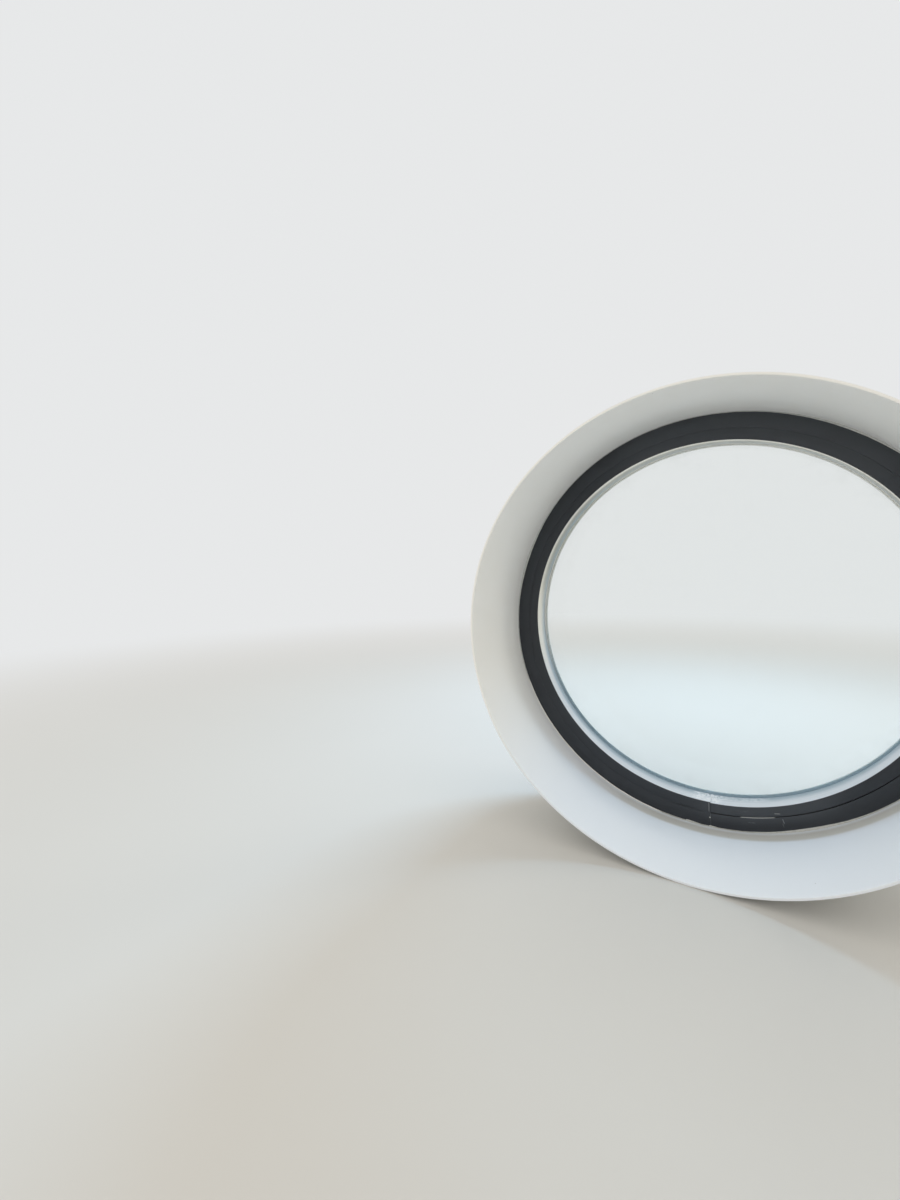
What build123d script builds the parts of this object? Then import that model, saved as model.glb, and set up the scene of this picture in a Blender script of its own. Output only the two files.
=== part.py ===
from build123d import *
from math import degrees
import os

# Round fixed window in its white reveal lining. All lengths are millimetres.
# The window's axis is Y: the room is on the -Y side, +Y points outdoors and +Z is up.
# The origin is the centre of the lining's rim on the room side.
# Angles around the window run from +X to +Z, so -90 is the bottom.

# Lining of the round opening
opening_diameter = 800.0
lining_wall = 4.0
lining_outside_lip = 4.0
lining_rim_chamfer = 0.8

# Frame: a hollow extrusion rolled to a ring, with a flange behind the glass
reveal_depth = 211.0
frame_depth = 65.0
frame_face = 27.0
frame_wall = 2.0
frame_clearance = 0.5
flange_thickness = 3.0
flange_setback = 2.8

# Butt joint that closes the rolled ring and its bead
joint_angle = -88.0
joint_gap = 0.3

# Glazing bead: a hollow snap-in ring that holds the glass from the room side
bead_face = 20.0
bead_wall = 1.6
bead_leg = 3.0
bead_gap = 0.5
bead_lip = 2.4
lug_height = 1.6
lug_thickness = 1.5
lug_from_face = 12.0
lug_clearance = 0.3

# Pale strip that lines the bead's inner side, behind its lip
strip_wall = 1.2
strip_clearance = 0.1

# Glass and its gaskets
glass_thickness = 8.0
glass_cover = 12.0
inner_gasket_thickness = 8.0
outer_gasket_thickness = 6.0
gasket_width = 7.5
gasket_nose_step = 0.6

# Blocks between the edge of the glass and the frame
block_length = 60.0
block_overhang = 2.0
setting_block_angles = (-120.0, -60.0)
location_block_angles = (0.0, 90.0, 180.0)

# Sealant
room_seal_reveal_leg = 2.6
room_seal_face_leg = 0.7
outside_seal_leg = 3.0
weather_seal_thickness = 1.4
weather_seal_width = 6.0

# Plate inside the frame's chamber that bridges the butt joint
splice_length = 120.0
splice_thickness = 6.0
splice_width = 40.0
splice_clearance = 0.3
splice_screw_angle_offsets = (-4.5, 4.5)

# Hexagon-head screws: frame to lining, and frame to splice
screw_diameter = 4.8
screw_head_flats = 8.0
screw_head_height = 3.2
screw_clearance = 0.1
screw_seat_gap = 0.05
splice_screw_reach = 2.0
frame_screw_count = 4
frame_screw_start_angle = 45.0

# Radii, from the outside in
lining_out_r = opening_diameter / 2
lining_in_r = lining_out_r - lining_wall
frame_out_r = lining_in_r - frame_clearance
rebate_r = frame_out_r - frame_face
bead_out_r = rebate_r - bead_gap
sight_r = bead_out_r - bead_face
strip_out_r = sight_r + strip_wall
bead_in_r = strip_out_r + strip_clearance
flange_in_r = sight_r + flange_setback
glass_r = flange_in_r + glass_cover
gasket_out_r = flange_in_r + gasket_width
lug_r = rebate_r - lug_height
notch_r = lug_r - lug_clearance
chamber_in_r = rebate_r + frame_wall
chamber_out_r = frame_out_r - frame_wall
splice_in_r = chamber_in_r + splice_clearance
splice_out_r = splice_in_r + splice_thickness

# Depths along Y, from the room outwards
face_y = reveal_depth
frame_back_y = face_y + frame_depth
lining_end_y = frame_back_y + lining_outside_lip
flange_y = frame_back_y - flange_thickness
glass_back_y = flange_y - outer_gasket_thickness
glass_front_y = glass_back_y - glass_thickness
bead_back_y = glass_front_y - inner_gasket_thickness
lip_y = face_y + bead_lip
lug_y = face_y + lug_from_face
lug_back_y = lug_y + lug_thickness
splice_far_y = flange_y - splice_clearance
splice_near_y = splice_far_y - splice_width
screw_y = (glass_front_y + glass_back_y) / 2

# Arcs and screw places
block_arc = degrees(block_length / glass_r)
splice_arc = degrees(splice_length / splice_in_r)
splice_screw_angles = [joint_angle + offset for offset in splice_screw_angle_offsets]
frame_screw_pitch = 360 / frame_screw_count
frame_screw_angles = [frame_screw_start_angle + frame_screw_pitch * i for i in range(frame_screw_count)]
screw_hole_r = screw_diameter / 2 + screw_clearance
screw_seat_r = rebate_r - screw_seat_gap

ring_axis = Axis((0, 0, 0), (0, -1, 0))


def outward(angle):
    # Unit vector that points away from the window's axis.
    return Vector(1, 0, 0).rotate(Axis.Y, -angle)


def section_plane(angle):
    # Plane through the window's axis: its x is the radius, its y the depth.
    return Plane(origin=(0, 0, 0), x_dir=outward(angle), z_dir=outward(angle).cross(Vector(0, 1, 0)))


def screw_plane(angle, radius):
    # Plane square to a screw, with its normal away from the window's axis.
    return Plane(origin=outward(angle) * radius + Vector(0, screw_y, 0), z_dir=outward(angle))


def band(inner, outer, near, far, mode=Mode.ADD):
    # Rectangle of a ring's section, between two radii and two depths.
    with Locations(((inner + outer) / 2, (near + far) / 2)):
        Rectangle(outer - inner, far - near, mode=mode)


def drill(angles, radius, depth):
    # Screw holes from a radius inwards.
    with Locations(*[screw_plane(angle, radius) for angle in angles]):
        Hole(screw_hole_r, depth)


def cut_joint(inner, outer):
    # Saw cut across a rolled ring, where its two ends meet.
    middle = outward(joint_angle) * (inner + outer) / 2 + Vector(0, face_y, 0)
    with Locations(Plane(origin=middle, x_dir=outward(joint_angle), z_dir=(0, -1, 0))):
        Box(2 * (outer - inner), joint_gap, 3 * frame_depth, mode=Mode.SUBTRACT)


def finish(builder, name):
    builder.part.label = name
    export_step(builder.part, f"parts/{name}.step")


os.makedirs("parts", exist_ok=True)

# Lining: one rolled ring with an eased rim towards the room
with BuildPart() as reveal_lining:
    with BuildSketch() as lining_section:
        band(lining_in_r, lining_out_r, 0, lining_end_y)
        rim = lining_section.vertices().sort_by_distance((lining_in_r, 0))[0]
        chamfer(rim, lining_rim_chamfer)
    revolve(axis=ring_axis)
    drill(frame_screw_angles, lining_out_r, 2 * lining_wall)
finish(reveal_lining, "reveal_lining")

# Frame: a closed chamber, a lug that the bead snaps over, and the glazing flange
with BuildPart() as frame_ring:
    with BuildSketch():
        Polygon(
            (rebate_r, face_y),
            (frame_out_r, face_y),
            (frame_out_r, frame_back_y),
            (flange_in_r, frame_back_y),
            (flange_in_r, flange_y),
            (rebate_r, flange_y),
            (rebate_r, lug_back_y),
            (lug_r, lug_back_y),
            (lug_r, lug_y),
            (rebate_r, lug_y),
            align=None,
        )
        band(chamber_in_r, chamber_out_r, face_y + frame_wall, flange_y, Mode.SUBTRACT)
    revolve(axis=ring_axis)
    cut_joint(flange_in_r, frame_out_r)
    drill(frame_screw_angles, frame_out_r, frame_face + frame_wall)
    drill(splice_screw_angles, splice_in_r, 2 * frame_wall)
finish(frame_ring, "frame_ring")

# Splice: a bent plate on the chamber's inner wall, across the butt joint
with BuildPart() as frame_splice:
    with BuildSketch(section_plane(joint_angle - splice_arc / 2)):
        band(splice_in_r, splice_out_r, splice_near_y, splice_far_y)
    revolve(axis=ring_axis, revolution_arc=splice_arc)
    drill(splice_screw_angles, splice_out_r, 2 * splice_thickness)
finish(frame_splice, "frame_splice")

# Screws: hexagon heads on the rebate wall, behind the bead
for name, angles, tip_r in (
    ("frame_screws", frame_screw_angles, lining_out_r - screw_clearance),
    ("splice_screws", splice_screw_angles, splice_out_r + splice_screw_reach),
):
    with BuildPart() as screws:
        with BuildSketch(*[screw_plane(angle, screw_seat_r) for angle in angles]):
            RegularPolygon(screw_head_flats / 2, 6, major_radius=False)
        extrude(amount=-screw_head_height)
        with BuildSketch(*[screw_plane(angle, screw_seat_r) for angle in angles]):
            Circle(screw_diameter / 2)
        extrude(amount=tip_r - screw_seat_r)
    finish(screws, name)

# Glazing bead: a hollow ring with a lip inwards, its outer leg notched to snap over the frame's lug
with BuildPart() as glazing_bead:
    with BuildSketch():
        band(sight_r, bead_out_r, face_y, lip_y)
        band(bead_in_r, bead_out_r, lip_y, bead_back_y)
        band(notch_r, bead_out_r, lug_y - lug_clearance, lug_back_y + lug_clearance, Mode.SUBTRACT)
        band(bead_in_r + bead_wall, bead_out_r - bead_leg, face_y + bead_wall,
             bead_back_y - bead_wall, Mode.SUBTRACT)
    revolve(axis=ring_axis)
    cut_joint(sight_r, bead_out_r)
finish(glazing_bead, "glazing_bead")

# Pale strip, flush with the bead's lip and closed at the same joint
with BuildPart() as bead_return:
    with BuildSketch():
        band(sight_r, strip_out_r, lip_y + strip_clearance, bead_back_y)
    revolve(axis=ring_axis)
    cut_joint(sight_r, strip_out_r)
finish(bead_return, "bead_return")

# Gaskets: a wedge on the room side, its nose sloping back to the glass, and a flat one outside
with BuildPart() as inner_gasket:
    with BuildSketch():
        Polygon(
            (sight_r + gasket_nose_step, bead_back_y),
            (gasket_out_r, bead_back_y),
            (gasket_out_r, glass_front_y),
            (flange_in_r, glass_front_y),
            align=None,
        )
    revolve(axis=ring_axis)
finish(inner_gasket, "inner_gasket")

with BuildPart() as outer_gasket:
    with BuildSketch():
        band(flange_in_r, gasket_out_r, glass_back_y, flange_y)
    revolve(axis=ring_axis)
finish(outer_gasket, "outer_gasket")

# Glass: one round pane
with BuildPart() as glass_pane:
    with BuildSketch():
        band(0, glass_r, glass_front_y, glass_back_y)
    revolve(axis=ring_axis)
finish(glass_pane, "glass_pane")

# Blocks that carry the pane from below and centre it, bent to the curve of its edge
for name, angles in (
    ("setting_blocks", setting_block_angles),
    ("location_blocks", location_block_angles),
):
    with BuildPart() as edge_blocks:
        for angle in angles:
            with BuildSketch(section_plane(angle - block_arc / 2)):
                band(glass_r, rebate_r, glass_front_y - block_overhang, glass_back_y + block_overhang)
            revolve(axis=ring_axis, revolution_arc=block_arc)
    finish(edge_blocks, name)

# Sealant: a fillet on each side of the frame, over its gap to the lining
with BuildPart() as room_seal:
    with BuildSketch():
        Polygon(
            (lining_in_r, face_y - room_seal_reveal_leg),
            (frame_out_r - room_seal_face_leg, face_y),
            (lining_in_r, face_y),
            align=None,
        )
    revolve(axis=ring_axis)
finish(room_seal, "room_seal")

with BuildPart() as outside_seal:
    with BuildSketch():
        Polygon(
            (lining_in_r, frame_back_y + outside_seal_leg),
            (frame_out_r - outside_seal_leg, frame_back_y),
            (lining_in_r, frame_back_y),
            align=None,
        )
    revolve(axis=ring_axis)
finish(outside_seal, "outside_seal")

# Weather seal: a pale bead on the edge of the flange and the outer gasket
with BuildPart() as weather_seal:
    with BuildSketch():
        band(flange_in_r - weather_seal_thickness, flange_in_r, frame_back_y - weather_seal_width,
             frame_back_y)
    revolve(axis=ring_axis)
finish(weather_seal, "weather_seal")
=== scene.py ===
from math import cos, degrees, exp, pi, radians, sin, tan

import bmesh
import bpy
from mathutils import Matrix, Vector, noise


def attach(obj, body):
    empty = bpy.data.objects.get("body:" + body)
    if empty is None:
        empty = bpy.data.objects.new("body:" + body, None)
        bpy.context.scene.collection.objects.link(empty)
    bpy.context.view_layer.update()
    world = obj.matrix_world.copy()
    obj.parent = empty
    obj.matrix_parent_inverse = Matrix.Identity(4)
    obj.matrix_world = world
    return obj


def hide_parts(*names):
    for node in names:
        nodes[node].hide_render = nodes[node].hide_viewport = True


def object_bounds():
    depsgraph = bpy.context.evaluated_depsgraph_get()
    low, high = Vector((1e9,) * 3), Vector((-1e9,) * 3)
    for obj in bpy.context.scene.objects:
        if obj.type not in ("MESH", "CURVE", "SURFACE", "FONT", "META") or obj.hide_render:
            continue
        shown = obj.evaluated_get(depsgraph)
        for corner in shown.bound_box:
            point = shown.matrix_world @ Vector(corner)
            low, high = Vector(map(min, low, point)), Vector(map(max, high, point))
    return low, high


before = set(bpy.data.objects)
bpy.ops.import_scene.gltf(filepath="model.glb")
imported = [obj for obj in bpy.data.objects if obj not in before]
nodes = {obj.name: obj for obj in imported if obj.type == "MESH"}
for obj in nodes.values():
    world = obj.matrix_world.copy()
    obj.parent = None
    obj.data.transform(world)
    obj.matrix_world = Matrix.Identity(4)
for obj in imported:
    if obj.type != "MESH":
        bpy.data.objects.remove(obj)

cadBox = [list(corner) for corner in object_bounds()]
scene = bpy.context.scene
mm = 0.001
print("frame loaded,", len(nodes), "solids")

# Radii and depths that several pieces share, in millimetres; depths start at the rim on the room side
layout = {"liningInside": 396.0, "frameOutside": 395.5, "rebate": 368.5, "flangeInside": 350.8,
          "face": 211.0, "beadBack": 251.0, "glassFront": 259.0, "screwDepth": 263.0,
          "glassBack": 267.0, "flangeFront": 273.0, "frameBack": 276.0}
jointAngle = -88.0  # degrees from the right, against the clock
jointGap = 0.3
jointRadius = 370.0  # the gap is this wide here


class Wire:  # a node's output that can stand in a sum
    def __init__(self, paint, socket):
        self.paint = paint
        self.socket = socket

    def __add__(self, other):
        return self.paint.maths("ADD", self, other)

    def __radd__(self, other):
        return self.paint.maths("ADD", other, self)

    def __sub__(self, other):
        return self.paint.maths("SUBTRACT", self, other)

    def __rsub__(self, other):
        return self.paint.maths("SUBTRACT", other, self)

    def __mul__(self, other):
        return self.paint.maths("MULTIPLY", self, other)

    def __rmul__(self, other):
        return self.paint.maths("MULTIPLY", other, self)

    def __pow__(self, other):
        return self.paint.maths("POWER", self, other)

    def __abs__(self):
        return self.paint.maths("ABSOLUTE", self)


class Paint:  # one material or world, built node by node; sizes are millimetres
    def __init__(self, owner):
        owner.use_nodes = True
        self.owner = owner
        self.tree = owner.node_tree
        self.tree.nodes.clear()

    def node(self, kind, settings=None, sockets=None, output=0):
        made = self.tree.nodes.new("ShaderNode" + kind)
        for key, value in (settings or {}).items():
            setattr(made, key, value)
        for key, value in (sockets or {}).items():
            if isinstance(value, Wire):
                self.tree.links.new(value.socket, made.inputs[key])
            else:
                made.inputs[key].default_value = value
        return Wire(self, made.outputs[output] if len(made.outputs) else None)

    def maths(self, operation, *values):
        return self.node("Math", {"operation": operation}, dict(enumerate(values)))

    def blend(self, base, top, share):  # colours
        return self.node("Mix", {"data_type": "RGBA"}, {0: share, 6: base, 7: top}, 2)

    def mix(self, first, second, share):  # shaders
        return self.node("MixShader", None, {0: share, 1: first, 2: second})

    def step(self, value, low, high):
        sockets = {"Value": value, "From Min": low, "From Max": high}
        return self.node("MapRange", {"interpolation_type": "SMOOTHSTEP"}, sockets)

    def spread(self, value, newLow, newHigh, low=0.3, high=0.7):
        sockets = {"Value": value, "From Min": low, "From Max": high,
                   "To Min": newLow, "To Max": newHigh}
        return self.node("MapRange", None, sockets)

    def vector(self, x, y, z):
        return self.node("CombineXYZ", None, {0: x, 1: y, 2: z})

    def cloud(self, place, size, detail=3.0, roughness=0.55, extra=0.0):
        sockets = {"Vector": place, "W": extra, "Scale": 1 / (size * mm),
                   "Detail": detail, "Roughness": roughness}
        return self.node("TexNoise", {"noise_dimensions": "4D"}, sockets)

    def dots(self, place, size, reach):
        distance = self.node("TexVoronoi", None, {"Vector": place, "Scale": 1 / (size * mm)})
        return 1 - self.step(distance, 0.0, reach / size)

    def shine(self, sockets):
        return self.node("BsdfPrincipled", None, sockets)

    def surface(self, colour, roughness, height, depth, more=None):
        bump = self.node("Bump", None, {"Distance": depth * mm, "Height": height}, "Normal")
        sockets = {"Base Color": colour, "Roughness": roughness, "Normal": bump}
        return self.done(self.shine({**sockets, **(more or {})}))

    def done(self, shader, output="OutputMaterial"):
        self.node(output, None, {"Surface": shader})
        return self.owner


class RingPlace:  # where a point lies on the ring; its limits are millimetres
    def __init__(self, paint):
        self.paint = paint
        self.place = paint.node("TexCoord", output="Object")
        self.x, self.y, self.z = (paint.node("SeparateXYZ", None, {0: self.place}, axis)
                                  for axis in "XYZ")
        self.radius = (self.x * self.x + self.z * self.z) ** 0.5

    def step(self, value, low, high):  # rises from low to high, or falls where low is the larger
        if low < high:
            return self.paint.step(value, low * mm, high * mm)
        return 1 - self.paint.step(value, high * mm, low * mm)

    def within(self, value, low, high, softness):
        return self.step(value, low - softness, low) * self.step(value, high + softness, high)

    def across(self, angle):  # distance from the radius at that angle
        return self.z * cos(radians(angle)) - self.x * sin(radians(angle))

    def near(self, angle, halfWidth, softness):  # 1 close to the radius at that angle
        inside = self.step(abs(self.across(angle)), halfWidth + softness, halfWidth)
        onThatSide = self.x * cos(radians(angle)) + self.z * sin(radians(angle))
        return inside * self.step(onThatSide, 0, 10)

    def patch(self, spot, measure):  # one row of a table: near its angle and between two limits
        reach = self.near(spot["angle"], spot["halfWidth"], spot["fade"])
        return reach * self.within(measure, spot["from"], spot["to"], spot["soft"])

    def onFace(self):  # 1 on the dark faces, 0 behind them
        return self.step(self.y, layout["face"] + 2.5, layout["face"] + 1)

    def upperSide(self, low=-120, high=140):  # 1 over the upper half and the left
        return self.step(self.z - self.x * 0.3, low, high)

    def streaks(self, width, length, detail=2.0):  # lines that run round the ring
        squeeze = width / length
        grain = self.paint.vector(self.x * squeeze, self.y, self.z * squeeze)
        return self.paint.cloud(grain, width, detail, extra=self.radius * (1 / (width * mm)))


def newPaint(name):
    return Paint(bpy.data.materials.new(name))


def tone(red, green, blue):  # a colour as it looks on screen, 0 to 255, made linear
    shares = [value / 255 for value in (red, green, blue)]
    linear = [s / 12.92 if s <= 0.04045 else ((s + 0.055) / 1.055) ** 2.4 for s in shares]
    return (*linear, 1.0)


patchColumns = "angle halfWidth fade from to soft"


def table(columns, *rows):
    return [dict(zip(columns.split(), row)) for row in rows]


def softCorners(corners, radii, steps=4):  # rounds the corners of a closed outline
    outline = []
    for i, radius in enumerate(radii):
        here = Vector(corners[i])
        if not radius:
            outline.append(tuple(here))
            continue
        toLast = (Vector(corners[i - 1]) - here).normalized()
        toNext = (Vector(corners[(i + 1) % len(corners)]) - here).normalized()
        half = toLast.angle(toNext) / 2
        centre = here + (toLast + toNext).normalized() * (radius / sin(half))
        first = here + toLast * (radius / tan(half)) - centre
        last = here + toNext * (radius / tan(half)) - centre
        for k in range(steps + 1):
            outline.append(tuple(centre + first.lerp(last, k / steps).normalized() * radius))
    return outline


def chamber(near, far, front, back):  # the hollow of an extruded section
    return softCorners([(near, front), (near, back), (far, back), (far, front)], (0.5,) * 4)


def ringPoint(angle, radius, depth):
    return Vector((radius * cos(angle), depth, radius * sin(angle))) * mm


def sweepRing(outlinesAt, turns, start=0.0, sweep=2 * pi):
    # outlinesAt(degrees) gives closed outlines of (radius, depth)
    ring = bmesh.new()
    closed = sweep > 2 * pi - 1e-6
    stations = turns if closed else turns + 1
    rows = []
    for i in range(stations):
        angle = start + sweep * i / turns
        outlines = outlinesAt(degrees(angle))
        rows.append([[ring.verts.new(ringPoint(angle, *point)) for point in line] for line in outlines])
    for i in range(turns):
        for here, there in zip(rows[i], rows[(i + 1) % stations]):
            for k in range(len(here)):
                after = (k + 1) % len(here)
                ring.faces.new((here[k], here[after], there[after], there[k]))
    if not closed:
        for row in (rows[0], rows[-1]):
            edges = [ring.edges.get((line[k - 1], line[k])) for line in row for k in range(len(line))]
            bmesh.ops.triangle_fill(ring, use_beauty=True, edges=edges)
    bmesh.ops.recalc_face_normals(ring, faces=ring.faces)
    return ring


def cutRing(outlinesAt, turns):  # a rolled ring with its two ends at the joint
    halfGap = jointGap / 2 / jointRadius  # as an angle
    return sweepRing(outlinesAt, turns, radians(jointAngle) + halfGap, 2 * pi - 2 * halfGap)


def fromJoint(angle):  # degrees round from the joint, 0 to 360
    return (angle - jointAngle) % 360


def awayFrom(angle, middle):  # degrees, -180 to 180
    return (angle - middle + 180) % 360 - 180


def swell(away, width, most, power=2):  # a smooth rise, flatter on top with a higher power
    return most * exp(-abs(away / width) ** power)


def wander(angle, size, seed):  # slow unevenness round the ring, -1 to 1
    turn = radians(angle)
    return noise.noise(Vector((cos(turn) / size, sin(turn) / size, seed)))


def makePiece(name, built, paint, replaced=(), sharp=32):
    data = bpy.data.meshes.new(name)
    built.to_mesh(data)
    built.free()
    data.materials.append(paint)
    data.shade_smooth()
    data.set_sharp_from_angle(angle=radians(sharp))
    piece = bpy.data.objects.new(name, data)
    scene.collection.objects.link(piece)
    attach(piece, "root")
    if replaced:
        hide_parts(*replaced)
    return piece


# Lining: white satin paint on a smooth rolled sheet, its rims eased by sanding
lining = {
    "outside": 399.88, "inside": layout["liningInside"], "end": 280.0, "turns": 720, "wallRows": 24,
    "rimEase": 0.9, "edgeEase": 0.4, "unevenness": 0.12,
    "bulges": ((113, 24, 2.4, 2), (-137, 39, 1.65, 8)),  # angle, width in degrees, millimetres, power
    "bulgeDepth": (90, 190),
    "holeRadius": 2.5, "holeAngles": (45, 135, 225, 315), "drillLength": 20,
    "white": tone(245, 245, 244), "warmWhite": tone(236, 235, 230), "paintedCoolLightWhite": tone(229, 235, 244),
    "primer": tone(196, 198, 196), "primerWorn": tone(188, 190, 187), "thinPaint": 0.6,
    "paintedFrameShade": tone(203, 204, 200), "speck": tone(120, 116, 110),
    "roughness": (0.42, 0.52), "relief": 0.12, "upper": (-300, 50), "insideOnly": (398.5, 397),
    "sideOnly": (399.5, 399.8), "endOnly": (278.5, 279.3), "paintFades": (12, 24),
    # painted shade band by the frame at the lower right
    "corner": {"angle": -78.0, "halfWidth": 210, "fade": 110, "from": 182, "to": 196, "soft": 10},
    "specks": ((98.0, 7.0), (-64.5, 37.0), (-83.3, 182.0)),  # angle and depth
}


def liningPaint():
    c = lining
    p = newPaint("satinWhiteLining")
    at = RingPlace(p)
    patches = p.cloud(at.place, 120, 2.0)
    # painted light: the lower right is drawn cooler, the top and the left whiter and warmer; the warm
    # patches are also uneven paint
    upper = at.upperSide(*c["upper"])
    colour = p.blend(c["paintedCoolLightWhite"], c["white"], upper)
    colour = p.blend(colour, c["warmWhite"], patches * (0.15 + upper * 0.35))
    corner = at.patch(c["corner"], at.y) * at.step(at.radius, *c["insideOnly"])  # painted shade by the frame at the lower right
    colour = p.blend(colour, c["paintedFrameShade"], corner * 0.75)

    # The outside and the far end are only primed, with thin paint over the first few millimetres
    mottle = p.step(p.cloud(at.place, 30, 4.0, 0.6), 0.3, 0.7)
    primer = p.blend(c["primer"], c["primerWorn"], mottle * 0.5)
    overspray = at.y + p.cloud(at.place, 12, 3.0) * 0.016
    bare = c["thinPaint"] + at.step(overspray, *c["paintFades"]) * (1 - c["thinPaint"])
    side = at.step(at.radius, *c["sideOnly"]) * bare
    end = at.step(at.y, *c["endOnly"])
    colour = p.blend(colour, primer, p.maths("MAXIMUM", side, end))

    few = p.step(p.cloud(at.place, 50, 0.0), 0.62, 0.66)
    specks = p.dots(at.place, 22, 0.7) * few
    for angle, depth in c["specks"]:
        specks = specks + at.near(angle, 0.4, 0.6) * at.within(at.y, depth, depth, 0.9)
    specks = p.maths("MINIMUM", specks, 1.0)
    colour = p.blend(colour, c["speck"], specks * 0.8)
    roller = p.cloud(at.place, 1.6, 3.0, 0.6)
    sags = p.cloud(at.place, 30, 1.0)
    height = roller * 0.35 + sags + specks * 0.6
    return p.surface(colour, p.spread(patches, *c["roughness"]), height, c["relief"],
                     {"Specular IOR Level": 0.4})


def bulgeAt(angle):  # hand finishing left the top and the lower left a little wider at the frame
    return sum(swell(awayFrom(angle, middle), *shape) for middle, *shape in lining["bulges"])


def liningOutline(angle):
    inside, outside, end = lining["inside"], lining["outside"], lining["end"]
    bulge = bulgeAt(angle)
    first, last = lining["bulgeDepth"]
    ease = lining["edgeEase"]
    outline = softCorners([(inside, 0), (outside, 0), (outside, end), (inside + bulge, end)],
                          (lining["rimEase"], ease, ease, ease))
    for k in range(lining["wallRows"] - 1, 0, -1):
        depth = end * k / lining["wallRows"]
        share = min(max((depth - first) / (last - first), 0), 1)
        widened = inside + bulge * share * share * (3 - 2 * share)
        outline.append((widened + lining["unevenness"] * wander(angle, 0.25, depth / 70), depth))
    return [outline]


def screwPlace(angle, radius, depth):  # frame of a screw: its X points away from the window's axis
    return Matrix.Rotation(-radians(angle), 4, "Y") @ Matrix.Translation((radius * mm, depth * mm, 0))


def cutHoles(built, radius, angles, distance, depth):
    body = bpy.data.objects.new("holeBody", bpy.data.meshes.new("holeBody"))
    cutter = bpy.data.objects.new("holeCutter", bpy.data.meshes.new("holeCutter"))
    built.to_mesh(body.data)
    built.free()
    drills = bmesh.new()
    for angle in angles:
        turn = screwPlace(angle, distance, depth) @ Matrix.Rotation(pi / 2, 4, "Y")
        bmesh.ops.create_cone(drills, cap_ends=True, segments=32, radius1=radius * mm,
                              radius2=radius * mm, depth=lining["drillLength"] * mm, matrix=turn)
    drills.to_mesh(cutter.data)
    drills.free()
    for thing in (body, cutter):
        scene.collection.objects.link(thing)
    cut = body.modifiers.new("holes", "BOOLEAN")
    cut.operation = "DIFFERENCE"
    cut.solver = "EXACT"
    cut.object = cutter
    bpy.context.view_layer.update()
    drilled = bmesh.new()
    drilled.from_object(body, bpy.context.evaluated_depsgraph_get())
    for thing in (body, cutter):
        shape = thing.data
        bpy.data.objects.remove(thing)
        bpy.data.meshes.remove(shape)
    return drilled


shell = cutHoles(sweepRing(liningOutline, lining["turns"]), lining["holeRadius"],
                 lining["holeAngles"], lining["outside"], layout["screwDepth"])
makePiece("liningShell", shell, liningPaint(), ["reveal_lining"])
print("lining made")


# Frame and bead: charcoal powder coat, with the marks of fitting near the joint
coat = {
    "charcoal": tone(46, 50, 56), "wornAndSheen": tone(72, 76, 82), "chalk": tone(176, 180, 182),
    "dust": tone(112, 112, 108), "paintedGrooveShadow": tone(24, 26, 29), "roughness": (0.4, 0.5), "relief": 0.06,
    # painted sheen: where the coat is drawn lighter
    "paintedSheen": (-73.0, 70, 80), "sheenFades": (388, 364), "paintedTopSheen": (78.0, 170, 120),
    "groove": {"angle": -66.0, "halfWidth": 150, "fade": 60, "from": 367.3, "to": 368.8, "soft": 0.3},
}
markColumns = patchColumns + " slant ragged strength"
frameMarks = table(
    markColumns,
    (-88.0, 0.25, 0.4, 369, 396, 0.4, 0, 0.5, 0.2),  # hairline of the joint
    (-88.2, 0.8, 0.7, 377.1, 378.6, 0.5, 0, 0.15, 1.0),  # chip beside it
    (-69.6, 0.3, 0.7, 373, 380, 1.5, -0.1, 0.5, 0.3),  # short curved scratch, in two lengths
    (-70.0, 0.3, 0.6, 381, 386, 1.5, 0.3, 0.5, 0.16),
    (-75.7, 25.0, 5.0, 368.5, 369.1, 0.3, 0, 0.3, 1.0),  # bright scratch along the groove
    (-77.5, 3.0, 4.0, 377.6, 378.4, 0.8, 0.05, 0.55, 0.12),  # faint rub
)
beadMarks = table(
    markColumns,
    (-88.4, 0.25, 0.5, 347, 366, 0.4, 0, 0.42, 0.4),  # hairline of the joint
    (-76.0, 14.0, 9.0, 367.2, 367.6, 0.35, 0, 0.46, 0.3),  # the scratch on the bead's edge
    (-70.4, 3.0, 2.5, 361.8, 362.6, 0.6, 0.12, 0.45, 0.5),  # smudge
    (-79.0, 6.0, 6.0, 356.0, 358.0, 1.5, 0, 0.6, 0.06),  # faint rub
)


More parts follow.
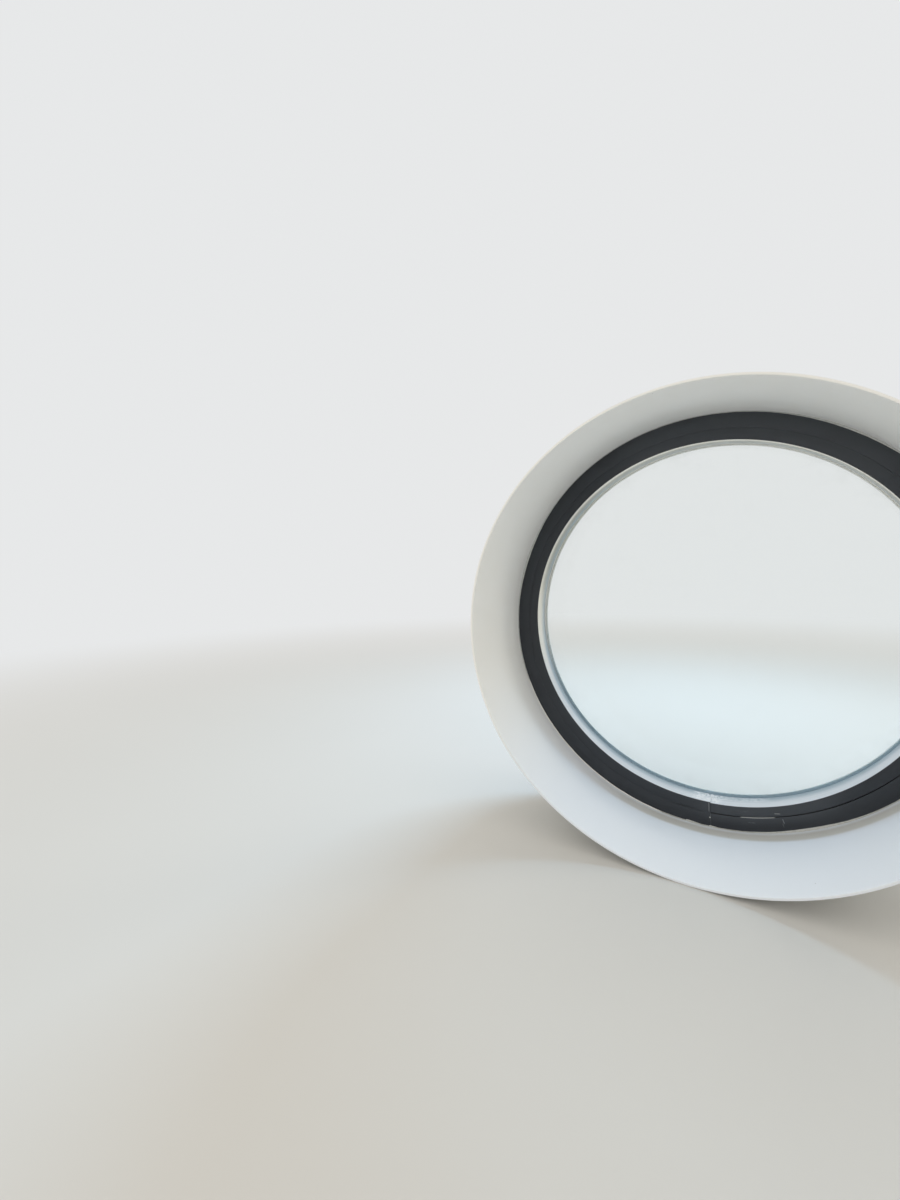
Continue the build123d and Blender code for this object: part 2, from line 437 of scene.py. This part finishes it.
def coatPaint(name, marks):
    p = newPaint(name)
    at = RingPlace(p)
    front = at.onFace()
    patches = p.cloud(at.place, 70, 3.0)
    brushed = at.streaks(3.5, 500)
    wornAndSheen = p.step(patches, 0.45, 0.8) * 0.16 + p.step(brushed, 0.55, 0.8) * 0.08
    colour = p.blend(coat["charcoal"], coat["wornAndSheen"], wornAndSheen)
    # painted sheen: the coat is drawn lighter at the lower right, mostly on the bead, and across the
    # top
    paintedSheen = at.near(*coat["paintedSheen"]) * at.step(at.radius, *coat["sheenFades"])
    paintedSheen = paintedSheen + at.near(*coat["paintedTopSheen"]) * 0.9
    colour = p.blend(colour, coat["wornAndSheen"], paintedSheen * (0.45 + p.step(brushed, 0.4, 0.7) * 0.25))
    few = p.step(p.cloud(at.place, 40, 0.0, extra=3.0), 0.58, 0.64)
    dust = p.dots(at.place, 9, 0.6) * few
    colour = p.blend(colour, coat["dust"], dust * 0.55)
    paintedGrooveShadow = at.patch(coat["groove"], at.radius) * at.step(at.across(jointAngle), 0, 1) * front
    colour = p.blend(colour, coat["paintedGrooveShadow"], paintedGrooveShadow * 0.85)  # painted shadow, only in the open groove
    wear = 0.0
    for mark in marks:
        lumps = p.cloud(at.place, 4, 5.0, 0.7, extra=mark["angle"])
        ragged = p.step(lumps, mark["ragged"] - 0.2, mark["ragged"] + 0.05)
        lean = at.across(mark["angle"]) * mark["slant"]
        wear = wear + at.patch(mark, at.radius - lean) * ragged * front * mark["strength"]
    wear = p.maths("MINIMUM", wear, 1.0)
    colour = p.blend(colour, coat["chalk"], wear)
    grain = p.cloud(at.place, 0.9, 2.0, 0.7)
    roughness = p.spread(patches, *coat["roughness"]) + wear * 0.25 + dust * 0.2
    height = grain * 0.5 + brushed * 0.2 + wear * 0.6
    return p.surface(colour, roughness, height, coat["relief"], {"Specular IOR Level": 0.35})


# Groove between them: open right of the joint, tight elsewhere but for a short way left of it
groove = {"until": 52.0, "fade": 6.0, "gap": 0.45, "overlap": 0.3, "drop": 0.35,
          "tightEase": 0.2, "openEase": 0.8, "shortWay": (352.5, 2.6, 0.9)}


def openAt(angle):
    away = fromJoint(angle)
    middle, width, most = groove["shortWay"]
    longWay = 1 / (1 + exp((away - groove["until"]) / groove["fade"]))
    return max(longWay, swell(away - middle, width, most))


def grooveEase(angle):
    return groove["tightEase"] + (groove["openEase"] - groove["tightEase"]) * openAt(angle)


frameRing = {"lug": 366.9, "lugFront": 223.0, "lugBack": 224.5, "wall": 2.0,
             "outsideEase": 0.7, "edgeEase": 0.3, "turns": 720}


def frameOutlines(angle):
    f = frameRing
    rebate, flange, edge = layout["rebate"], layout["flangeInside"], layout["frameOutside"]
    face, back, flangeFront = layout["face"], layout["frameBack"], layout["flangeFront"]
    wide = edge + bulgeAt(angle)
    corners = [(rebate, face), (wide, face), (wide, back), (flange, back), (flange, flangeFront),
               (rebate, flangeFront), (rebate, f["lugBack"]), (f["lug"], f["lugBack"]),
               (f["lug"], f["lugFront"]), (rebate, f["lugFront"])]
    ease = f["edgeEase"]
    outside = softCorners(corners, (grooveEase(angle), f["outsideEase"], ease, ease, ease,
                                    0, 0, ease, ease, 0))
    wall = f["wall"]
    return [outside, chamber(rebate + wall, edge - wall, face + wall, flangeFront)]


makePiece("frameProfile", cutRing(frameOutlines, frameRing["turns"]),
          coatPaint("charcoalFrameCoat", frameMarks), ["frame_ring"])

bead = {
    "sight": 347.75, "inside": 349.3, "outside": 368.0, "face": layout["face"],
    "back": layout["beadBack"], "wall": 1.6, "leg": 3.0, "lip": 0.9, "lipEase": 0.6,
    "notch": 366.6, "notchFront": 222.7, "notchBack": 224.8, "turns": 720,
    # its inner edge is not quite round: degrees from the joint, width, millimetres
    "shifts": ((20, 35, 1.5), (160, 22, -0.55), (218, 28, 1.05), (300, 24, -0.75), (322, 42, -1.2)),
}


def shiftAt(angle):
    return sum(swell(fromJoint(angle) - middle, *shape) for middle, *shape in bead["shifts"])


def beadFaceAt(angle):  # where the groove is open, the bead sits a little deeper
    return bead["face"] + groove["drop"] * openAt(angle)


def beadOutlines(angle):
    b = bead
    opened = openAt(angle)
    outside = b["outside"] - groove["gap"] * opened + groove["overlap"] * (1 - opened)
    face = beadFaceAt(angle)
    sight, lip = b["sight"] + shiftAt(angle), face + b["lip"]
    corners = [(sight, face), (outside, face), (outside, b["notchFront"]),
               (b["notch"], b["notchFront"]), (b["notch"], b["notchBack"]),
               (outside, b["notchBack"]), (outside, b["back"]), (b["inside"], b["back"]),
               (b["inside"] + b["lipEase"], lip), (sight, lip)]
    line = softCorners(corners, (0.5, grooveEase(angle), 0, 0, 0, 0, 0.4, 0.4, 0, 0.3))
    return [line, chamber(b["inside"] + b["wall"], b["outside"] - b["leg"],
                          b["face"] + b["wall"], b["back"] - b["wall"])]


makePiece("beadProfile", cutRing(beadOutlines, bead["turns"]),
          coatPaint("charcoalBeadCoat", beadMarks), ["glazing_bead"])
print("frame and bead made")


# Pale strip: drawn metal with fine lengthwise lines, and smeared sealant by the joint
strip = {
    "inside": 347.8, "outside": 349.2, "gap": 0.05, "back": layout["beadBack"], "ease": 0.4,
    "turns": 720,
    "silver": tone(218, 225, 233), "dull": tone(200, 207, 214), "paintedBlueShade": tone(148, 168, 182),
    "paintedWarmLight": tone(250, 245, 231), "shade": tone(150, 152, 144),
    "smear": tone(242, 245, 250), "grime": tone(84, 97, 110), "roughness": (0.3, 0.42), "relief": 0.08,
    "shadeBand": (229, 243, 10), "shadeRises": (-50, 200), "blueShadeRises": (229, 253),
    "paintedShadeUpperLeft": (148.0, 80, 80), "shadeUpperLeftRises": (220, 240), "lessPale": (172.0, 200, 100),
    "cracks": (-88.2, 11, 6), "cracksRise": (226, 236),
    "smears": table(patchColumns + " share", (-89.3, 17, 14, 219, 252, 5, 1.0),
                    (-79.0, 30, 20, 236, 249, 3, 0.5)),
}


def stripPaint():
    c = strip
    p = newPaint("paleDrawnStrip")
    at = RingPlace(p)
    fine = at.streaks(1.6, 350, 3.0)
    broad = at.streaks(7, 600, 1.0)
    patches = p.cloud(at.place, 50, 3.0)
    upper = at.upperSide()
    lines = p.step(fine, 0.45, 0.75) * 0.4 + p.step(broad, 0.4, 0.7) * 0.35
    colour = p.blend(c["silver"], c["dull"], lines)
    # painted light: the upper side and the left drawn warmer
    colour = p.blend(colour, c["paintedWarmLight"], upper * 0.8)
    middle = at.within(at.y, *c["shadeBand"]) * at.step(at.z, *c["shadeRises"])
    colour = p.blend(colour, c["shade"], middle * 0.75)
    paintedShadeUpperLeft = at.near(*c["paintedShadeUpperLeft"])  # painted shade, greyer at the upper left
    colour = p.blend(colour, c["shade"], paintedShadeUpperLeft * (0.3 + at.step(at.y, *c["shadeUpperLeftRises"]) * 0.45))
    # painted bluish shade towards the glass, weaker on the upper side and stronger again at the left
    pale = upper * 0.55 - at.near(*c["lessPale"]) * 0.3
    byGlass = at.step(at.y + broad * 0.006, *c["blueShadeRises"])
    colour = p.blend(colour, c["paintedBlueShade"], byGlass * (1 - pale))

    ragged = p.step(p.cloud(at.place, 6, 4.0, 0.7, extra=5.0), 0.36, 0.58)
    smear = sum(at.patch(spot, at.y) * ragged * spot["share"] for spot in c["smears"])
    smear = p.maths("MINIMUM", smear, 1.0)
    colour = p.blend(colour, c["smear"], smear * 0.8)
    split = p.step(p.cloud(at.place, 3, 4.0, 0.75, extra=9.0), 0.56, 0.62)
    cracks = at.near(*c["cracks"]) * split * at.step(at.y, *c["cracksRise"])
    colour = p.blend(colour, c["grime"], cracks * 0.85)
    roughness = p.spread(patches, *c["roughness"]) + smear * 0.25
    height = fine * 0.6 + broad * 0.3 + smear * 0.8
    return p.surface(colour, roughness, height, c["relief"],
                     {"Metallic": 0.35 - smear * 0.3 - upper * 0.25})


def stripOutline(angle):
    s = strip
    front = beadFaceAt(angle) + bead["lip"] + s["gap"]
    lean = shiftAt(angle)
    corners = [(s["inside"] + lean, front), (s["outside"] + lean, front),
               (s["outside"], s["back"]), (s["inside"], s["back"])]
    return [softCorners(corners, (s["ease"], 0.2, 0.2, 0.3))]


makePiece("paleStrip", cutRing(stripOutline, strip["turns"]), stripPaint(),
          ["bead_return"])


# Gaskets: extruded rubber, the room side one with a lip that slopes to the glass
gasket = {
    "nose": 348.6, "lip": layout["flangeInside"], "outside": 358.3, "front": layout["beadBack"],
    "glass": layout["glassFront"], "flange": layout["flangeFront"], "turns": 480,
    "outerFront": layout["glassBack"] + 0.05, "slopeSteps": 8, "ribSteps": 12, "ribHeight": 0.25,
    "slate": tone(126, 142, 153), "slateLight": tone(150, 164, 173), "lead": tone(124, 136, 145),
    "paintedLightTone": tone(214, 215, 210), "roughness": (0.45, 0.6), "relief": 0.1,
    "bow": 0.55, "mouldLine": (0.09, 0.3), "mouldLineAt": 0.45,
    "paintedLightWeaker": (158.0, 150, 100), "smearAt": (-88.8, 9, 8),
}


def gasketPaint(name, base, light):
    p = newPaint(name)
    at = RingPlace(p)
    lines = at.streaks(1.2, 200, 2.0)
    patches = p.cloud(at.place, 30, 3.0)
    bloom = p.step(lines, 0.4, 0.75) * 0.5 + p.step(patches, 0.45, 0.7) * 0.35
    colour = p.blend(base, light, bloom)
    paintedLightShare = at.upperSide() * (0.7 - at.near(*gasket["paintedLightWeaker"]) * 0.5)  # painted light: paler on the upper side and the left, less so at the upper left
    colour = p.blend(colour, gasket["paintedLightTone"], paintedLightShare)
    ragged = p.step(p.cloud(at.place, 5, 4.0, 0.7, extra=6.0), 0.4, 0.6)
    colour = p.blend(colour, strip["smear"], at.near(*gasket["smearAt"]) * ragged * 0.6)
    height = lines * 0.7 + p.cloud(at.place, 0.8, 2.0) * 0.3
    return p.surface(colour, p.spread(patches, *gasket["roughness"]), height, gasket["relief"])


def innerGasketOutline(angle):
    g = gasket
    slope = []
    for k in range(g["slopeSteps"] + 1):  # the lip bows a little, with one moulded line along it
        share = k / g["slopeSteps"]
        bow = g["bow"] * sin(pi * share) - swell(share - g["mouldLineAt"], *g["mouldLine"])
        radius = g["lip"] + (g["nose"] - g["lip"]) * share + g["bow"] * (1 - share) * share
        slope.append((radius - bow * 0.3, g["glass"] + (g["front"] - g["glass"]) * share))
    return [slope + [(g["outside"], g["front"]), (g["outside"], g["glass"])]]


def outerGasketOutline(angle):
    g = gasket
    front, flange = g["outerFront"], g["flange"]
    ribs = []
    for k in range(g["ribSteps"] + 1):  # three soft ribs on the edge that faces the pane's centre
        share = k / g["ribSteps"]
        rib = 1 - abs(sin(3 * pi * share)) ** 0.5
        ribs.append((g["lip"] + g["ribHeight"] * rib, flange + (front - flange) * share))
    return [ribs + [(g["outside"], front), (g["outside"], flange)]]


makePiece("roomGasket", sweepRing(innerGasketOutline, gasket["turns"]),
          gasketPaint("slateGasket", gasket["slate"], gasket["slateLight"]),
          ["inner_gasket"], 50)
makePiece("outsideGasket", sweepRing(outerGasketOutline, gasket["turns"]),
          gasketPaint("leadGasket", gasket["lead"], gasket["slate"]),
          ["outer_gasket"], 50)
print("strip and gaskets made")


# Glass: one clear float pane with ground arrises
pane = {"radius": 362.8, "front": layout["glassFront"], "back": layout["glassBack"], "arris": 0.6,
        "turns": 360, "clear": (0.968, 0.98, 0.976, 1.0), "edge": tone(120, 158, 150),
        "film": tone(236, 240, 242), "rimGlow": tone(178, 203, 220), "rimGlowUpper": tone(250, 250, 246),
        "index": 1.45, "hazeRises": (300, 350), "glowRises": (345.5, 349), "edgeRises": (361.5, 362)}


def panePaint():
    p = newPaint("clearPane")
    at = RingPlace(p)
    upper = at.upperSide()
    through = p.node("BsdfTransparent", None, {"Color": pane["clear"]})
    mirror = p.node("BsdfGlossy", None, {"Color": (1, 1, 1, 1), "Roughness": 0.03})
    film = p.node("BsdfDiffuse", None, {"Color": pane["film"], "Roughness": 0.5})
    # painted light: a pale matt sheet over the rim stands in for light carried in the glass edge, paler
    # on the upper side
    glow = p.shine({"Base Color": p.blend(pane["rimGlow"], pane["rimGlowUpper"], upper),
                    "Roughness": 1.0, "Specular IOR Level": 0.0})
    edge = p.shine({"Base Color": pane["edge"], "Roughness": 0.5})
    fresnel = p.node("Fresnel", None, {"IOR": pane["index"]})
    glass = p.mix(through, mirror, p.maths("MINIMUM", fresnel * 0.8, 0.6))
    wiped = p.step(p.cloud(at.place, 50, 4.0, 0.65), 0.45, 0.75)
    glass = p.mix(glass, film, wiped * (0.012 + at.step(at.radius, *pane["hazeRises"]) * 0.05))
    glass = p.mix(glass, glow, at.step(at.radius, *pane["glowRises"]) * (0.62 + upper * 0.32))
    return p.done(p.mix(glass, edge, at.step(at.radius, *pane["edgeRises"])))


def makePane():
    disc = bmesh.new()
    radius, front, back, arris = (pane[key] for key in ("radius", "front", "back", "arris"))
    line = [(radius - arris, front), (radius, front + arris),
            (radius, back - arris), (radius - arris, back)]
    turns = pane["turns"]
    rows = [[disc.verts.new(ringPoint(2 * pi * i / turns, *point)) for point in line]
            for i in range(turns)]
    for i in range(turns):
        here, there = rows[i], rows[(i + 1) % turns]
        for k in range(3):
            disc.faces.new((here[k], here[k + 1], there[k + 1], there[k]))
    for k in (0, 3):
        disc.faces.new([row[k] for row in rows])
    bmesh.ops.recalc_face_normals(disc, faces=disc.faces)
    return disc


makePiece("clearPane", makePane(), panePaint(), ["glass_pane"], 25)
print("pane made")


# Sealant: tooled by hand, so its edges wander
sealant = {"grey": tone(190, 192, 190), "greyDark": tone(162, 163, 161), "pale": tone(214, 218, 216),
           "paleDull": tone(192, 198, 200), "paintedHighlight": tone(248, 248, 246),
           "paintedHighlightRun": (-130.0, 180, 15), "roughness": (0.35, 0.5), "relief": 0.2}


def sealPaint(name, base, dull, size):
    p = newPaint(name)
    at = RingPlace(p)
    lumps = p.cloud(at.place, size, 3.0, 0.6)
    pull = at.streaks(1.2, 60, 2.0)
    colour = p.blend(base, dull, p.step(lumps, 0.4, 0.7) * 0.6 + p.step(pull, 0.5, 0.8) * 0.25)
    paintedHighlight = at.near(*sealant["paintedHighlightRun"]) * at.onFace()  # painted highlight, a whiter run at the lower left
    colour = p.blend(colour, sealant["paintedHighlight"], paintedHighlight)
    roughness = p.spread(lumps, *sealant["roughness"])
    return p.surface(colour, roughness, lumps + pull * 0.35, sealant["relief"])


roomSeal = {
    "revealLeg": 2.6, "faceLeg": 0.3, "leastLeg": 0.2, "skin": 0.25, "turns": 1440,
    "wide": ((159, 13, 2.7), (-64, 9, 2.6), (57, 14, 1.8)),  # angle, width in degrees, millimetres
    "stopped": ((-94.4, -90.2, 2.4), (-88.3, -86.2, 1.9)),  # where a run starts thick and thins out
}


def faceLegAt(angle):
    leg = roomSeal["faceLeg"] + 0.25 * wander(angle, 0.03, 1.0)
    leg += sum(swell(awayFrom(angle, middle), *shape) for middle, *shape in roomSeal["wide"])
    for first, last, height in roomSeal["stopped"]:
        share = ((angle - first) % 360) / (last - first)
        if share < 1:
            leg += height * (1 - share)
    return max(leg, roomSeal["leastLeg"])


def roomSealOutline(angle):
    face, skin = layout["face"], roomSeal["skin"]
    leg = faceLegAt(angle)
    revealLeg = roomSeal["revealLeg"] + 0.5 * wander(angle, 0.05, 7.0)
    reveal, edge = layout["liningInside"] + bulgeAt(angle), layout["frameOutside"] + bulgeAt(angle)
    tip = edge - leg  # the skin thins out from the reveal to this edge
    return [[(reveal, face), (reveal, face - revealLeg), (reveal - 0.35, face - revealLeg * 0.6),
             (edge - leg * 0.3, face - skin * 2.4), (tip + leg * 0.25, face - skin * 1.3),
             (tip + 0.05, face - skin * 0.7), (tip, face)]]


makePiece("roomSealant", sweepRing(roomSealOutline, roomSeal["turns"]),
          sealPaint("greySealant", sealant["grey"], sealant["greyDark"], 6),
          ["room_seal"], 60)

weatherSeal = {"inside": 349.4, "outside": layout["flangeInside"], "front": 270.0,
               "back": layout["frameBack"], "ease": 0.9, "unevenness": 0.18, "turns": 720}


def weatherSealOutline(angle):
    w = weatherSeal
    inside = w["inside"] + w["unevenness"] * (0.5 + 0.5 * wander(angle, 0.04, 3.0))
    corners = [(inside, w["front"]), (w["outside"], w["front"]),
               (w["outside"], w["back"]), (inside, w["back"])]
    return [softCorners(corners, (w["ease"], 0, 0, w["ease"]))]


makePiece("outsideEdgeSealant", sweepRing(weatherSealOutline, weatherSeal["turns"]),
          sealPaint("paleSealant", sealant["pale"], sealant["paleDull"], 8),
          ["weather_seal"], 50)

backSeal = {"leg": 3.0, "hollow": 0.5, "steps": 5, "turns": 720}


def backSealOutline(angle):
    back, leg = layout["frameBack"], backSeal["leg"]
    reveal, edge = layout["liningInside"] + bulgeAt(angle), layout["frameOutside"] + bulgeAt(angle)
    out = leg * (0.92 + 0.08 * wander(angle, 0.05, 11.0))
    across = leg * (0.9 + 0.1 * wander(angle, 0.06, 12.0))
    outline = [(reveal, back), (reveal, back + out)]
    for k in range(1, backSeal["steps"] + 1):
        t = k * pi / 2 / (backSeal["steps"] + 1)
        outline.append((reveal - across * (1 - cos(t)) - backSeal["hollow"] * sin(t),
                        back + out * (1 - sin(t))))
    return [outline + [(edge - across, back)]]


makePiece("outsideSealant", sweepRing(backSealOutline, backSeal["turns"]),
          sealPaint("greySealantOutside", sealant["grey"], sealant["greyDark"], 7),
          ["outside_seal"], 60)
print("sealant made")


# Screws: zinc plated hexagon heads with a rolled thread
screw = {"flats": 8.0, "headHeight": 3.2, "headEase": 0.5, "radius": 2.4, "root": 1.95,
         "neck": 1.0, "pitch": 1.6, "noThread": 3.0, "pointLength": 1.6, "pointRadius": 0.4,
         "sides": 24, "seat": 368.45, "frameTip": 399.8,
         "spliceAngles": (-92.5, -83.5), "spliceTip": 378.8,
         "zinc": tone(186, 188, 192), "zincDull": tone(140, 142, 144),
         "metallic": 0.9, "roughness": (0.28, 0.45), "relief": 0.04}


def metalPaint(name, base, dull, grainSize):
    p = newPaint(name)
    at = RingPlace(p)
    patches = p.cloud(at.place, 6, 4.0)
    grain = p.cloud(at.place, grainSize, 2.0, 0.7, extra=2.0)
    colour = p.blend(base, dull, p.step(patches, 0.4, 0.7) * 0.7)
    return p.surface(colour, p.spread(patches, *screw["roughness"]), grain, screw["relief"],
                     {"Metallic": screw["metallic"]})


def lathe(built, turn, profile, sides, start=0.0):  # profile of (radius, height) round a screw's axis
    rows = []
    for i in range(sides):
        a = start + 2 * pi * i / sides
        rows.append([built.verts.new(turn @ (Vector((along, r * cos(a), r * sin(a))) * mm))
                     for r, along in profile])
    for i in range(sides):
        here, there = rows[i], rows[(i + 1) % sides]
        for k in range(len(profile) - 1):
            built.faces.new((here[k], here[k + 1], there[k + 1], there[k]))
    return rows


def makeScrews(angles, tip):
    s = screw
    built = bmesh.new()
    shank = tip - s["seat"]
    step = s["pitch"] / 2
    thread = [(s["radius"] if k % 2 else s["root"], s["neck"] + k * step)
              for k in range(int((shank - s["noThread"]) / step))]
    point = [(s["root"], shank - s["pointLength"]), (s["pointRadius"], shank), (0.0, shank)]
    corner, top = s["flats"] / 2 / cos(pi / 6), -s["headHeight"]
    head = [(corner, 0.0), (corner, top + s["headEase"]), (corner * 0.9, top)]
    for angle in angles:
        turn = screwPlace(angle, s["seat"], layout["screwDepth"])
        lathe(built, turn, [(s["radius"] * 0.95, 0.0)] + thread + point, s["sides"])
        rows = lathe(built, turn, head, 6, pi / 6)
        for k in (0, -1):
            built.faces.new([row[k] for row in rows])
    bmesh.ops.remove_doubles(built, verts=built.verts, dist=1e-6)
    bmesh.ops.recalc_face_normals(built, faces=built.faces)
    return built


zinc = metalPaint("zincScrew", screw["zinc"], screw["zincDull"], 0.6)
makePiece("frameFixings", makeScrews(lining["holeAngles"], screw["frameTip"]), zinc,
          ["frame_screws"])
makePiece("spliceFixings", makeScrews(screw["spliceAngles"], screw["spliceTip"]), zinc,
          ["splice_screws"])


# Solids that stay as they are: splice plate and glazing blocks
plain = {"mill": tone(200, 202, 204), "millDull": tone(160, 162, 164),
         "block": tone(44, 46, 48), "blockLight": tone(66, 68, 70),
         "blockRoughness": (0.5, 0.65), "blockRelief": 0.1}


def blockPaint():
    p = newPaint("blockPlastic")
    at = RingPlace(p)
    marble = p.cloud(at.place, 4, 4.0, 0.6)
    colour = p.blend(plain["block"], plain["blockLight"], p.step(marble, 0.4, 0.7) * 0.6)
    return p.surface(colour, p.spread(marble, *plain["blockRoughness"]), marble, plain["blockRelief"])


def dress(node, paint):
    nodes[node].data.materials.clear()
    nodes[node].data.materials.append(paint)


dress("frame_splice", metalPaint("millSplice", plain["mill"], plain["millDull"], 1.0))
blocks = blockPaint()
for name in ("setting_blocks", "location_blocks"):
    dress(name, blocks)
print("fixings made")


# Studio: pale floor under the lowest point, cool light from high outside, soft light all round
studio = {"floorTone": tone(206, 206, 205), "floorPatch": tone(203, 203, 202),
          "worldSeen": (0.8, 0.81, 0.815, 1.0), "worldLit": (0.98, 0.935, 0.85, 1.0),
          "floorSize": 120.0, "floorBelow": 0.0002, "floorFades": (1.1, 4.5)}  # metres


def seenRays(paint):  # 1 for what the camera, a mirror or the glass shows, 0 for what lights the object
    seen = 0.0
    for ray in ("Is Camera Ray", "Is Glossy Ray", "Is Transmission Ray"):
        seen = paint.maths("MAXIMUM", paint.node("LightPath", output=ray), seen)
    return seen


def floorPaint():
    p = newPaint("paleFloor")
    at = RingPlace(p)
    patches = p.cloud(at.place, 800, 2.0)
    colour = p.blend(studio["floorTone"], studio["floorPatch"], patches)
    near = p.shine({"Base Color": colour, "Roughness": 0.8, "Specular IOR Level": 0.2})
    far = p.node("Emission", None, {"Color": studio["worldSeen"], "Strength": 1.0})
    away = (at.x * at.x + at.y * at.y) ** 0.5
    return p.done(p.mix(near, far, p.step(away, *studio["floorFades"]) * seenRays(p)))


def makeFloor():
    sheet = bmesh.new()
    bmesh.ops.create_grid(sheet, x_segments=1, y_segments=1, size=studio["floorSize"] / 2)
    data = bpy.data.meshes.new("floor")
    sheet.to_mesh(data)
    sheet.free()
    data.materials.append(floorPaint())
    floor = bpy.data.objects.new("floor", data)
    floor.location = (0, 0, cadBox[0][2] - studio["floorBelow"])
    scene.collection.objects.link(floor)


def makeWorld():
    world = bpy.data.worlds.new("studioWorld")
    scene.world = world
    p = Paint(world)
    colour = p.blend(studio["worldLit"], studio["worldSeen"], seenRays(p))
    p.done(p.node("Background", None, {"Color": colour}), "OutputWorld")


# Lamps: place and aim in metres, width and height, watts, spread in degrees, colour
lampColumns = "name place aim size watts spread colour"
lamps = table(
    lampColumns,
    ("highOutside", (-0.12, 1.5, 1.46), (0.0, 0.1, -0.25), (0.7, 0.32), 29.0, 180, (0.45, 0.73, 1.0)),
    ("sideOutside", (0.9, 2.3, 0.7), (-0.1, 0.1, 0.0), (0.6, 0.6), 1.8, 80, (1.0, 0.93, 0.82)),
    ("lowOutside", (0.4, 1.7, -0.38), (0.4, 1.7, 1.0), (1.6, 1.0), 9.0, 180, (1.0, 0.96, 0.9)),
    ("frontSoft", (-0.9, -2.2, 1.6), (0.0, 0.1, 0.0), (2.2, 1.8), 4.0, 180, (1.0, 0.985, 0.96)),
)


def makeLamp(name, place, aim, size, watts, spread, colour):
    light = bpy.data.lights.new(name, "AREA")
    light.shape = "RECTANGLE"
    light.size, light.size_y = size
    light.energy = watts
    light.spread = radians(spread)
    light.color = colour
    lamp = bpy.data.objects.new(name, light)
    lamp.location = place
    lamp.rotation_mode = "QUATERNION"
    lamp.rotation_quaternion = (Vector(aim) - Vector(place)).to_track_quat("-Z", "Y")
    lamp.visible_glossy = False
    lamp.visible_camera = False
    scene.collection.objects.link(lamp)


makeFloor()
makeWorld()
for lamp in lamps:
    makeLamp(**lamp)

# Camera, as close and as wide as in the picture: metres, degrees, and millimetres for its lens
view = {"place": (0.12196, -0.8416, 0.12685), "yaw": 34.0768, "pitch": -4.0048, "roll": -1.4083,
        "lens": 14.77, "sensor": 36.0, "shift": (-0.000417, 0.000417), "clip": (0.01, 100.0)}


def makeCamera():
    lens = bpy.data.cameras.new("pictureCamera")
    lens.lens = view["lens"]
    lens.sensor_width = view["sensor"]
    lens.shift_x, lens.shift_y = view["shift"]
    lens.clip_start, lens.clip_end = view["clip"]
    camera = bpy.data.objects.new("pictureCamera", lens)
    turn = Matrix.Rotation(radians(view["yaw"]), 4, "Z")
    turn = turn @ Matrix.Rotation(radians(90 + view["pitch"]), 4, "X")
    turn = turn @ Matrix.Rotation(radians(view["roll"]), 4, "Z")
    camera.matrix_world = Matrix.Translation(view["place"]) @ turn
    scene.collection.objects.link(camera)
    scene.camera = camera


makeCamera()
scene.view_settings.view_transform = "Standard"
print("studio made")

bpy.context.view_layer.update()
